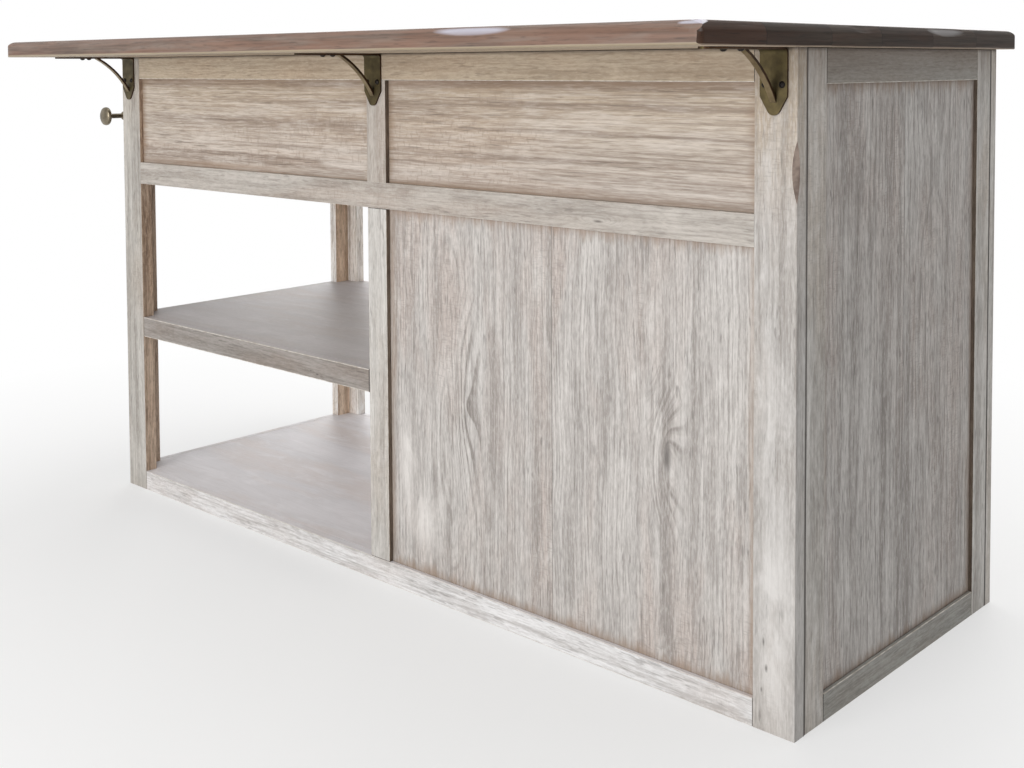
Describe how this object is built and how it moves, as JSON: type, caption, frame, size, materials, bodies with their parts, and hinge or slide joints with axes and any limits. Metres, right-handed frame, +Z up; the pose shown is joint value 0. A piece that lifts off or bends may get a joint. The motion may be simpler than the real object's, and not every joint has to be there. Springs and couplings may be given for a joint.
{
  "type": "kitchen island unit",
  "caption": "Limed wood kitchen island unit with an open shelf bay, a cupboard, drawers, an end towel bar and a dark wood worktop overhanging on bent metal brackets",
  "frame": {"origin": "the middle of the body's footprint, on the floor, at the underside of the bearer under the partition", "axes": "+X along the body, from the open bay to the cupboard; +Y from the seating side to the drawer side; +Z up"},
  "size_m": [1.678, 0.863, 0.914],
  "materials": {
    "top_wood": "brown stained boards, worn upper edge, satin",
    "frame_wood": "limed pale wood, open grain, matt",
    "panel_wood": "limed warm beige wood, horizontal grain, matt",
    "inner_wood": "pale lacquered wood, satin",
    "bronze_metal": "aged dark bronze, brushed",
    "dark_metal": "aged dark bronze, brushed",
    "pewter_metal": "aged brass gone grey"
  },
  "bodies": {
    "carcass": {"worktop": "top_wood", "back_left_stile": "frame_wood", "back_right_stile": "frame_wood", "back_upper_middle_stile": "frame_wood", "back_lower_middle_stile": "frame_wood", "back_top_rail": "frame_wood", "back_middle_rail": "frame_wood", "back_bottom_rail": "frame_wood", "back_shelf_rail": "frame_wood", "back_left_apron_panel": "panel_wood", "back_right_apron_panel": "panel_wood", "back_cupboard_panel": "frame_wood", "right_end_back_stile": "frame_wood", "right_end_front_stile": "frame_wood", "right_end_rails": "frame_wood", "right_end_panel": "frame_wood", "left_end_back_stile": "frame_wood", "left_end_front_stile": "frame_wood", "left_end_rails": "frame_wood", "left_end_apron_panel": "panel_wood", "front_left_stile": "frame_wood", "front_right_stile": "frame_wood", "front_middle_stiles": "frame_wood", "front_top_rail": "frame_wood", "front_middle_rail": "frame_wood", "front_bottom_rail": "frame_wood", "front_shelf_rail": "frame_wood", "bottom_bearer": "inner_wood", "bottom_board": "inner_wood", "middle_shelf": "inner_wood", "cupboard_shelf": "inner_wood", "bay_partition": "inner_wood", "drawer_runners": "inner_wood", "bracket_strips": "bronze_metal", "bracket_struts": "bronze_metal", "bracket_screws": "bronze_metal", "towel_bar": "pewter_metal", "towel_bar_posts": "pewter_metal", "towel_bar_finials": "pewter_metal", "hinge_frame_leaves": "dark_metal"},
    "left_drawer": {"left_drawer_front": "frame_wood", "left_drawer_sides": "inner_wood", "left_drawer_back": "inner_wood", "left_drawer_bottom": "inner_wood", "left_drawer_knobs": "dark_metal"},
    "right_drawer": {"right_drawer_front": "frame_wood", "right_drawer_sides": "inner_wood", "right_drawer_back": "inner_wood", "right_drawer_bottom": "inner_wood", "right_drawer_knobs": "dark_metal"},
    "left_door": {"left_door_stiles": "frame_wood", "left_door_rails": "frame_wood", "left_door_panel": "frame_wood", "left_door_knob": "dark_metal", "left_door_hinge_leaves": "dark_metal"},
    "right_door": {"right_door_stiles": "frame_wood", "right_door_rails": "frame_wood", "right_door_panel": "frame_wood", "right_door_knob": "dark_metal", "right_door_hinge_leaves": "dark_metal"}
  },
  "joints": [
    {"name": "left_drawer_slide", "type": "slide", "parent": "carcass", "child": "left_drawer", "axis": [0, 1, 0], "range_m": [0, 0.4]},
    {"name": "right_drawer_slide", "type": "slide", "parent": "carcass", "child": "right_drawer", "axis": [0, 1, 0], "range_m": [0, 0.4]},
    {"name": "left_door_hinge", "type": "hinge", "parent": "carcass", "child": "left_door", "pos_m": [0.024, 0.3044, 0.333], "axis": [0, 0, 1], "range_deg": [0, 110]},
    {"name": "right_door_hinge", "type": "hinge", "parent": "carcass", "child": "right_door", "pos_m": [0.735, 0.3044, 0.333], "axis": [0, 0, -1], "range_deg": [0, 110]}
  ]
}
